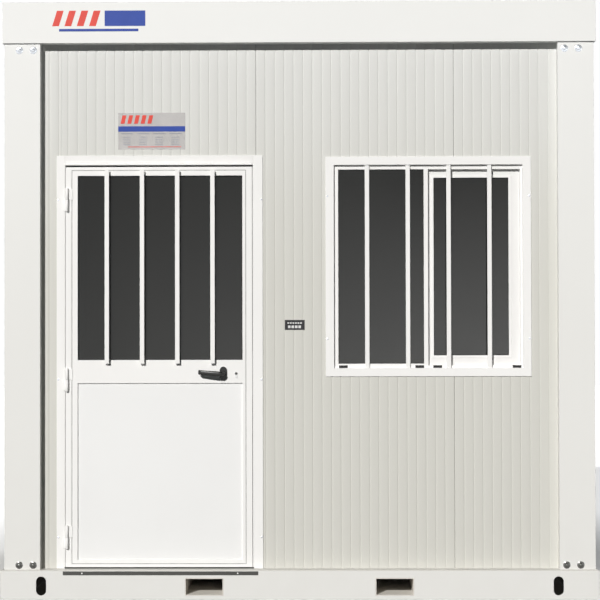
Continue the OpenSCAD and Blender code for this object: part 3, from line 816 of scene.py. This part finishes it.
def build_threshold():
    """Sill, and the dark strip, whose face lies back by the height of its screw heads."""
    lo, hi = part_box("door_threshold")
    rail_lo, rail_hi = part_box("base_rail_front")
    jamb_lo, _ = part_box("door_jamb_hinge_side")
    _, leaf_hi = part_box("door_leaf_frame")
    face = lo.y + STRIP_SCREW_H
    strip_mid = rail_hi.z - STRIP_MIDDLE
    strip_top = 2 * strip_mid - lo.z
    bm = bmesh.new()
    slab(bm, (lo.x, face, lo.z), (hi.x, rail_lo.y, strip_top))
    slab(bm, (lo.x, jamb_lo.y, rail_hi.z), (leaf_hi.x + LOCK_GAP, hi.y, hi.z))
    sill = piece("threshold_sill", bm, "cabin", DARK, bevel=0.0002)
    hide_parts("door_threshold")
    bm = bmesh.new()
    for x in (lo.x + STRIP_SCREW_LEFT, hi.x - STRIP_SCREW_RIGHT):
        screw(bm, (x, face, strip_mid), -Y, r=STRIP_SCREW_R, h=STRIP_SCREW_H)
    piece("strip_screws", bm, "cabin", WHITE)


def build_roof_screws():
    """Screws with cup washers in rows across the roof sheet."""
    _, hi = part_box("roof_panels")
    washer_h = ROOF_WASHER[-1][1]
    bm = bmesh.new()
    count = int(hi.x / ROOF_RIB_PITCH)
    for i in range(-count, count + 1):
        for j in range(-ROOF_SCREW_ROWS, ROOF_SCREW_ROWS + 1):
            at = Vector((i * ROOF_RIB_PITCH, j * ROOF_SCREW_PITCH, hi.z))
            lathe(bm, at, Z, ROOF_WASHER, sides=14)
            lathe(bm, at + Z * washer_h, Z, ROOF_HEAD, sides=6)
    piece("roof_screws", bm, "cabin", ZINC)


# ---------------------------------------------------------------- door


def rounded_ring(centre, across, up, w, h, power, count=24):
    """Ring of points on a rounded rectangle; power 1 is an ellipse, and less is squarer."""
    ring = []
    for i in range(count):
        a = 2 * math.pi * i / count
        c, s = math.cos(a), math.sin(a)
        px = math.copysign(abs(c) ** power, c) * w / 2
        pz = math.copysign(abs(s) ** power, s) * h / 2
        ring.append(centre + across * px + up * pz)
    return ring


def lever_line():
    """Middle line of a lever: how far to the side, how far out, and its heading, at each ring."""
    straight, bend, length, tail = LEVER_STRAIGHT, LEVER_BEND, LEVER_LENGTH, LEVER_TAIL
    reach = straight + bend
    quarter = math.pi / 2
    line = [(0, d, 0.0) for d in (0.0015, 0.008, 0.018, straight)]
    for i in range(1, 7):
        a = math.radians(15 * i)
        line.append((bend - bend * math.cos(a), straight + bend * math.sin(a), a))
    for i in range(1, 9):
        side = bend + (length - tail - bend) * i / 8
        line.append((side, reach - LEVER_BOW * (i / 8) ** 2, quarter))
    for i in range(1, 6):
        b = math.radians(16 * i)
        side = length - tail + tail * math.sin(b)
        line.append((side, reach - LEVER_BOW - tail + tail * math.cos(b), quarter + b))
    return line


def lever(name, node, face_y, out):
    """Lever whose neck runs out of the door, bends to the hinge side and turns back at its end."""
    lo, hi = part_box("door_spindle")
    axis = Vector(((lo.x + hi.x) / 2, face_y, (lo.z + hi.z) / 2))
    rings = []
    for side, away, heading in lever_line():
        grip = min(1.0, max(0.0, (side - GRIP_START) / GRIP_GROWS))
        tip = max(0.0, (side - TIP_START) / (LEVER_LENGTH - TIP_START))
        thick = NECK_ACROSS + (GRIP_THICK - NECK_ACROSS) * grip - TIP_THINNER * tip
        high = NECK_ACROSS + (GRIP_HIGH - NECK_ACROSS) * grip - TIP_LOWER * tip
        power = 1.0 - GRIP_SQUARE * grip
        centre = axis + out * away - X * side + Z * (TIP_LIFT * tip)
        across = X * math.cos(heading) + out * math.sin(heading)
        rings.append(rounded_ring(centre, across, Z, thick, high, power))
    forward = -X * math.sin(heading) + out * math.cos(heading)
    for shrink, step in TIP_ROUNDING:
        end = centre + forward * step
        rings.append(rounded_ring(end, across, Z, thick * shrink, high * shrink, power))
    bm = bmesh.new()
    loft(bm, rings)
    made = piece(name, bm, "handle", BLACK, sharp=60)
    smooth = made.modifiers.new("smooth", "SUBSURF")
    smooth.levels = 1
    smooth.render_levels = 1
    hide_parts(node)


def euro_outline(x, z, r=0.0085, stem_w=0.010, drop=0.0245):
    """Outline of a profile cylinder: a round barrel over a narrower round-ended stem."""
    half = stem_w / 2
    start = math.asin(half / r)
    points = []
    for i in range(25):
        a = -math.pi / 2 + start + (2 * math.pi - 2 * start) * i / 24
        points.append((x + r * math.cos(a), z + r * math.sin(a)))
    for i in range(9):
        a = math.pi + math.pi * i / 8
        points.append((x + half * math.cos(a), z - drop + half + half * math.sin(a)))
    return points


def build_lock():
    """Profile cylinder with its plug, and a black mark as the key slot's painted shade, on both door
    faces.
    """
    lo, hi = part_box("door_lock_cylinder")
    x = (lo.x + hi.x) / 2
    z = (lo.z + hi.z) / 2
    bm = bmesh.new()
    extrude_outline(bm, euro_outline(x, z), lo.y + CASE_IN, hi.y - CASE_IN)
    case = piece("lock_cylinder_case", bm, "door", METAL, bevel=0.0004)
    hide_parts("door_lock_cylinder")
    bm = bmesh.new()
    slot = bmesh.new()
    half = KEY_SLOT_W / 2
    for face, out in ((lo.y, -Y), (hi.y, Y)):
        lathe(bm, Vector((x, face, z)) - out * PLUG_IN, out, PLUG, sides=24)
        y0, y1 = sorted(face + out.y * depth for depth in KEY_SLOT_OUT)
        # Black mark proud of the plug: painted shade of the key slot's hollow
        slab(slot, (x - half, y0, z - KEY_SLOT_DOWN), (x + half, y1, z + KEY_SLOT_UP))
    piece("lock_cylinder_plug", bm, "door", DARK)
    piece("lock_key_slot_shade", slot, "door", RUBBER, bevel=0.0001)


def build_lock_plates():
    """Faceplate and latch in the edge of the leaf, and the strike plate on the jamb."""
    lo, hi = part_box("door_lock_cylinder")
    leaf_lo, leaf_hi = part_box("door_leaf_frame")
    z = (lo.z + hi.z) / 2
    middle = (leaf_lo.y + leaf_hi.y) / 2
    edge = leaf_hi.x
    plate = edge + FACEPLATE_T
    bm = bmesh.new()
    slab(bm, (edge, middle - FACEPLATE_W / 2, z - FACEPLATE_HALF),
         (plate, middle + FACEPLATE_W / 2, z + FACEPLATE_HALF))
    slab(bm, (plate, middle - LATCH_W / 2, z - LATCH_DOWN),
         (plate + LATCH_OUT, middle + LATCH_W / 2, z + LATCH_UP))
    piece("lock_faceplate", bm, "door", METAL, bevel=0.0005)

    jamb = edge + LOCK_GAP
    y0, y1 = middle - STRIKE_W / 2, middle + STRIKE_W / 2
    bm = bmesh.new()
    for down, up in STRIKE_BRIDGES:
        slab(bm, (jamb - STRIKE_T, y0, z + down), (jamb, y1, z + up))
    for y in (y0, y1 - STRIKE_EDGE):
        slab(bm, (jamb - STRIKE_T, y, z - STRIKE_HALF), (jamb, y + STRIKE_EDGE, z + STRIKE_HALF))
    piece("lock_strike_plate", bm, "cabin", METAL, bevel=0.0003)


def build_door_beads():
    """Gaskets on both sides of the pane, and the beads on the inside of the leaf."""
    _, leaf_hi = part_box("door_leaf_frame")
    pane_lo, pane_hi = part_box("door_glass")
    infill_lo, infill_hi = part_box("door_lower_panel")
    bm = bmesh.new()
    for y0, y1 in ((pane_lo.y - GASKET_T, pane_lo.y), (pane_hi.y, pane_hi.y + GASKET_T)):
        picture_ring(bm, pane_lo.x, pane_hi.x, pane_lo.z, pane_hi.z, GASKET_W, y0, y1)
    piece("door_pane_gasket", bm, "door", RUBBER, bevel=0.0006)
    bm = bmesh.new()
    for lo, hi in ((pane_lo, pane_hi), (infill_lo, infill_hi)):
        picture_ring(bm, lo.x, hi.x, lo.z, hi.z, INSIDE_BEAD_W, hi.y + GASKET_T, leaf_hi.y - 0.001)
    piece("door_inside_beads", bm, "door", WHITE, bevel=0.001)


def build_door_seals():
    """Stop seal behind the leaf, beads in the gaps beside it, and the line round its face."""
    leaf_lo, leaf_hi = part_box("door_leaf_frame")
    head_lo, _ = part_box("door_head")
    bar_lo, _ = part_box("door_rain_bar")
    x0, x1 = leaf_lo.x - HINGE_GAP, leaf_hi.x + LOCK_GAP
    y0, y1 = leaf_hi.y + 0.0006, head_lo.y + STOP_SEAL_END
    top = bar_lo.z
    w = STOP_SEAL_W
    bm = bmesh.new()
    slab(bm, (x0, y0, leaf_lo.z), (x0 + w, y1, top))
    slab(bm, (x1 - w, y0, leaf_lo.z), (x1, y1, top))
    slab(bm, (x0 + w, y0, top - w), (x1 - w, y1, top))
    piece("door_stop_seal", bm, "cabin", RUBBER, bevel=0.001)

    bm = bmesh.new()
    for a, b in ((x0, x0 + HINGE_BEAD), (x1 - LOCK_BEAD, x1)):
        slab(bm, (a, leaf_lo.y, leaf_lo.z), (b, leaf_lo.y + BEAD_DEEP, top))
    piece("door_gap_beads", bm, "cabin", WHITE, bevel=0.0005)

    # Grey strip in the groove round the leaf's face: partly a seal, partly painted shade of the groove
    bm = bmesh.new()
    picture_ring(bm, leaf_lo.x + BEAD_IN, leaf_hi.x - BEAD_IN, leaf_lo.z + BEAD_UP,
                 leaf_hi.z - BEAD_UP, BEAD_W, leaf_lo.y + 0.0018, leaf_lo.y + 0.0036)
    piece("door_bead_line", bm, "door", LINE, bevel=0.0003)


def build_hinge_caps():
    """Rounded caps on the ends of the three hinges: the upper ones ride on the door."""
    leaf_lo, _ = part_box("door_leaf_frame")
    x, y, _ = frame["joints"][0]["pos_m"]
    cap = [(KNUCKLE_R * share, rise) for share, rise in
           ((1, 0), (1, 0.0015), (0.8, 0.0035), (0.4, 0.0045), (0.0625, 0.0048))]
    up = bmesh.new()
    down = bmesh.new()
    for height in HINGE_HEIGHTS:
        z = leaf_lo.z + height
        lathe(up, (x, y, z + HINGE_HALF), Z, cap, sides=24)
        lathe(down, (x, y, z - HINGE_HALF), -Z, cap, sides=24)
    piece("hinge_caps_upper", up, "door", WHITE)
    piece("hinge_caps_lower", down, "cabin", WHITE)


def build_rose_collars():
    """Ring round each lever's neck, on the rose."""
    lo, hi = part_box("door_spindle")
    x = (lo.x + hi.x) / 2
    z = (lo.z + hi.z) / 2
    rose_lo, rose_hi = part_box("door_handle_roses")
    count = 28
    spokes = [X * math.cos(2 * math.pi * i / count) + Z * math.sin(2 * math.pi * i / count)
              for i in range(count)]
    bm = bmesh.new()
    for face, out in ((rose_lo.y, -Y), (rose_hi.y, Y)):
        loops = []
        for radius, along in COLLAR:
            centre = Vector((x, face, z)) + out * along
            loops.append([centre + spoke * radius for spoke in spokes])
        loft(bm, loops + [loops[0]], cap=False)
    bmesh.ops.remove_doubles(bm, verts=bm.verts, dist=1e-6)
    piece("rose_collars", bm, "door", BLACK)


def build_handles():
    """Lever on each face of the leaf."""
    leaf_lo, leaf_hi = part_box("door_leaf_frame")
    lever("lever_outside", "door_lever_outside", leaf_lo.y, -Y)
    lever("lever_inside", "door_lever_inside", leaf_hi.y, Y)


# ---------------------------------------------------------------- window


def pane_gaskets(bm, pane, glass_y):
    """A gasket on each side of a pane, whose opening is (x0, x1, z0, z1)."""
    for y0, y1 in ((-PANE_GASKET_OUT, -PANE_HALF), (PANE_HALF, PANE_GASKET_OUT)):
        picture_ring(bm, *pane, PANE_GASKET_W, glass_y + y0, glass_y + y1)


def build_window_beads():
    """Gaskets of both panes, and the bead round the sash's pane."""
    light_lo, light_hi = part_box("window_fixed_light")
    sash_lo, sash_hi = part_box("window_sliding_sash")
    fixed = (light_lo.x + LIGHT_W, light_hi.x - LIGHT_W, light_lo.z + LIGHT_W, light_hi.z - LIGHT_W)
    x0, x1 = sash_lo.x + SASH_STILE, sash_hi.x - SASH_END
    z0, z1 = sash_lo.z + SASH_RAIL, sash_hi.z - SASH_RAIL
    bm = bmesh.new()
    pane_gaskets(bm, fixed, (light_lo.y + light_hi.y) / 2)
    pane_gaskets(bm, (x0, x1, z0, z1), (sash_lo.y + sash_hi.y) / 2)
    piece("window_gaskets", bm, "cabin", RUBBER, bevel=0.0005)

    w = SASH_BEAD_W
    bm = bmesh.new()
    picture_ring(bm, x0 - w, x1 + w, z0 - w, z1 + w, w, sash_lo.y - SASH_BEAD_T, sash_lo.y)
    piece("sash_bead", bm, "cabin", WHITE, bevel=0.0008)


def build_window_track():
    """Front track beside the fixed light, and black marks painted as drain-slot shade under both
    lights.
    """
    light_lo, light_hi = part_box("window_fixed_light")
    _, sash_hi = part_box("window_sliding_sash")
    x0, x1 = light_hi.x, sash_hi.x
    y0, y1 = light_lo.y, light_hi.y
    foot, head = light_lo.z + TRACK_FOOT, light_hi.z - LIGHT_W
    bm = bmesh.new()
    slab(bm, (x0, y0, head), (x1, y1, light_hi.z))
    slab(bm, (x0, y0, light_lo.z), (x1, y1, foot))
    slab(bm, (x1 - TRACK_END, y0, foot), (x1, y1, head))
    piece("window_front_track", bm, "cabin", WHITE, bevel=0.0008)

    # Black sheets on the track's face: painted shade of the drain slots' hollows
    z = light_lo.z + SLOT_UP
    bm = bmesh.new()
    for x in (light_lo.x + SLOT_FROM_LEFT, x0 - SLOT_FROM_MIDDLE, x0 + SLOT_FROM_LEFT,
              x1 - SLOT_FROM_RIGHT):
        slab(bm, (x - SLOT_W / 2, y0 - SLOT_T, z - SLOT_H / 2), (x + SLOT_W / 2, y0, z + SLOT_H / 2))
    piece("window_drain_slot_shade", bm, "cabin", RUBBER, bevel=0.0003)


def build_sash_pull():
    """Pull on the inside of the sash's meeting stile."""
    lo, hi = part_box("window_sliding_sash")
    x = lo.x + SASH_STILE * PULL_SHARE
    z = (lo.z + hi.z) / 2
    bm = bmesh.new()
    near = hi.y
    for w, h, far in (PULL_PLATE, PULL_GRIP):
        extrude_outline(bm, stadium(x, z, w, h), near, hi.y + far)
        near = hi.y + far
    piece("sash_pull", bm, "cabin", BLACK, bevel=0.0012)


# ---------------------------------------------------------------- labels, all without lettering


def leaning_bar(bm, x, w, lean, z0, z1, y0, y1):
    """Upright bar whose top is moved to the right."""
    extrude_outline(bm, [(x, z0), (x + w, z0), (x + w + lean, z1), (x + lean, z1)], y0, y1)


def build_fascia_mark():
    """Leaning red bars, a blue block and a blue line on the roof beam."""
    beam_lo, beam_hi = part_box("roof_beam_front")
    y0, y1 = beam_lo.y - MARK_T, beam_lo.y
    left = beam_lo.x + MARK_LEFT
    top = beam_hi.z - MARK_TOP
    foot = top - MARK_H
    bm = bmesh.new()
    for i in range(MARK_BARS):
        leaning_bar(bm, left + i * MARK_BAR_PITCH, MARK_BAR_W, MARK_BAR_LEAN, foot, top, y0, y1)
    piece("fascia_mark_bars", bm, "cabin", RED)
    bm = bmesh.new()
    slab(bm, (left + MARK_BLOCK[0], y0, foot), (left + MARK_BLOCK[1], y1, top))
    slab(bm, (left + MARK_LINE[0], y0, top - MARK_LINE_FOOT),
         (left + MARK_LINE[1], y1, top - MARK_LINE_TOP))
    piece("fascia_mark_block", bm, "cabin", BLUE)


def build_notice():
    """Clear sheet over the door with a blue band, red bars and grey rows in place of its text."""
    panel_lo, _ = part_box("front_panel_over_door")
    y0, y1 = panel_lo.y - PRINT_OUT, panel_lo.y - SHEET_OUT
    left, right = NOTICE_X
    foot, top = NOTICE_Z
    bm = bmesh.new()
    slab(bm, (left, y1, foot), (right, panel_lo.y - 0.0001, top))
    piece("notice_sheet", bm, "cabin", FILM)
    bm = bmesh.new()
    slab(bm, (left, y0, top - 0.095), (right, y1, top - 0.068))
    piece("notice_band", bm, "cabin", BLUE)

    bar_count, bar_in, bar_pitch, bar_w, bar_lean = 5, 0.012, 0.034, 0.020, 0.010
    bm = bmesh.new()
    for i in range(bar_count):
        x = left + bar_in + i * bar_pitch
        leaning_bar(bm, x, bar_w, bar_lean, top - 0.055, top - 0.012, y0, y1)
    slab(bm, (left + 0.05, y0, foot + 0.012), (right - 0.02, y1, foot + 0.015))
    piece("notice_bars", bm, "cabin", RED)

    columns, column_in, column_pitch, heading_w = 4, 0.014, 0.082, 0.062
    rows, first_row, row_pitch, row_h, row_in, row_w = 4, 0.122, 0.0125, 0.003, 0.010, 0.040
    bm = bmesh.new()
    for column in range(columns):
        x = left + column_in + column * column_pitch
        slab(bm, (x, y0, top - 0.107), (x + heading_w, y1, top - 0.103))
        for row in range(rows):
            z = top - first_row - row * row_pitch
            slab(bm, (x + row_in, y0, z - row_h), (x + row_in + row_w, y1, z))
    piece("notice_rows", bm, "cabin", GREY)


def build_number_plate():
    """Small dark plate with two rows of plain pale blocks."""
    panel_lo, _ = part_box("front_panel_over_door")
    face = panel_lo.y
    left, right = PLATE_X
    foot, top = PLATE_Z
    bm = bmesh.new()
    slab(bm, (left, face - PLATE_FACE, foot), (right, face - PLATE_BACK, top))
    piece("number_plate", bm, "cabin", PLATE, bevel=0.0003)
    bm = bmesh.new()
    rows = ((6, 0.013, 0.0128, 0.009, top - 0.019, top - 0.012),
            (4, 0.016, 0.0175, 0.013, foot + 0.009, foot + 0.022))
    for count, inset, pitch, w, z0, z1 in rows:
        for i in range(count):
            x = left + inset + i * pitch
            slab(bm, (x, face - PLATE_MARK, z0), (x + w, face - PLATE_FACE, z1))
    piece("number_plate_marks", bm, "cabin", PALE)


# ---------------------------------------------------------------- floor, light and camera


def build_floor():
    """A wide pale floor under the cabin, that turns as white as the surround farther out."""
    reach = FLOOR_REACH
    bm = bmesh.new()
    bm.faces.new([bm.verts.new(p) for p in ((-reach, -reach, 0), (reach, -reach, 0),
                                            (reach, reach, 0), (-reach, reach, 0))])
    mesh = bpy.data.meshes.new("studio_floor")
    bm.to_mesh(mesh)
    bm.free()
    floor = bpy.data.objects.new("studio_floor", mesh)
    SCENE.collection.objects.link(floor)
    n = Nodes("studio_floor")
    n.link(n.ramp(n.noise(0.6), (0.3, (0.84, 0.84, 0.84)), (0.7, (0.86, 0.86, 0.86))),
           n.shader.inputs["Base Color"])
    n.link(n.span(n.distance(), 0.0, FLOOR_GLOW, start=FLOOR_DULL, end=FLOOR_WHITE),
           n.shader.inputs["Emission Strength"])
    n.set(Roughness=0.9, Emission_Color=(1, 1, 1, 1))
    mesh.materials.append(n.material)
    floor.visible_diffuse = False


def sun(name, travel, strength, colour, angle):
    """A sun lamp whose light travels along the given way."""
    lamp = bpy.data.lights.new(name, "SUN")
    lamp.energy = strength
    lamp.color = colour
    lamp.angle = math.radians(angle)
    obj = bpy.data.objects.new(name, lamp)
    obj.rotation_mode = "QUATERNION"
    obj.rotation_quaternion = Vector(travel).to_track_quat("-Z", "Y")
    SCENE.collection.objects.link(obj)


def background(tree, colour, strength):
    """A background shader of one colour."""
    node = tree.nodes.new("ShaderNodeBackground")
    node.inputs["Color"].default_value = (*colour, 1)
    node.inputs["Strength"].default_value = strength
    return node


def mirrored_strength(tree):
    """Brightness by direction: haze low down that grows to the right, dimmer towards the sky."""
    where = tree.nodes.new("ShaderNodeTexCoord")
    split = tree.nodes.new("ShaderNodeSeparateXYZ")
    tree.links.new(where.outputs["Generated"], split.inputs["Vector"])
    haze = tree.nodes.new("ShaderNodeMath")
    haze.operation = "MULTIPLY_ADD"
    for i, (axis, start, end, low, high) in enumerate(MIRRORED):
        node = tree.nodes.new("ShaderNodeMapRange")
        ends = (("From Min", start), ("From Max", end), ("To Min", low), ("To Max", high))
        for key, number in ends:
            node.inputs[key].default_value = number
        tree.links.new(split.outputs[axis], node.inputs["Value"])
        tree.links.new(node.outputs["Result"], haze.inputs[i])
    return haze.outputs["Value"]


def build_surround():
    """World that is white where it is seen, hazy where it is mirrored, and dim as fill."""
    world = bpy.data.worlds.new("surround")
    world.use_nodes = True
    SCENE.world = world
    tree = world.node_tree
    tree.nodes.remove(tree.nodes["Background"])
    glow = background(tree, (0.90, 0.98, 1.0), GLOW_STRENGTH)
    white = background(tree, (1.0, 1.0, 1.0), 1.0)
    mirrored = background(tree, (1.0, 1.0, 0.98), 1.0)
    tree.links.new(mirrored_strength(tree), mirrored.inputs["Strength"])
    seen = tree.nodes.new("ShaderNodeLightPath")
    last = glow
    for ray, light in (("Is Glossy Ray", mirrored), ("Is Camera Ray", white)):
        mix = tree.nodes.new("ShaderNodeMixShader")
        tree.links.new(seen.outputs[ray], mix.inputs["Fac"])
        tree.links.new(last.outputs[0], mix.inputs[1])
        tree.links.new(light.outputs[0], mix.inputs[2])
        last = mix
    tree.links.new(last.outputs[0], tree.nodes["World Output"].inputs["Surface"])


def build_light():
    """Key light from the front left, wide fill from behind, and the surround."""
    sun("key", SUN_TRAVEL, KEY_STRENGTH, (1.0, 0.985, 0.96), KEY_SOFT)
    sun("fill", FILL_TRAVEL, FILL_STRENGTH, (0.97, 0.985, 1.0), FILL_SOFT)
    build_surround()
    SCENE.view_settings.view_transform = "Standard"


def build_camera():
    """Camera at the photograph's angle."""
    data = bpy.data.cameras.new("camera")
    data.lens = CAMERA_LENS
    data.sensor_width = 36.0
    camera = bpy.data.objects.new("camera", data)
    turn = (Matrix.Rotation(math.radians(-CAMERA_PAN), 4, "Z")
            @ Matrix.Rotation(math.radians(90 + CAMERA_TILT), 4, "X")
            @ Matrix.Rotation(math.radians(CAMERA_ROLL), 4, "Z"))
    camera.matrix_world = Matrix.Translation(CAMERA_AT) @ turn
    SCENE.collection.objects.link(camera)
    SCENE.camera = camera


build_camera()
build_light()
build_floor()
dress_cad_nodes()
build_walls()
build_post_bolts()
build_frame_screws()
build_threshold()
build_roof_screws()
build_handles()
build_lock()
build_lock_plates()
build_door_beads()
build_door_seals()
build_hinge_caps()
build_rose_collars()
build_window_beads()
build_window_track()
build_sash_pull()
build_fascia_mark()
build_notice()
build_number_plate()
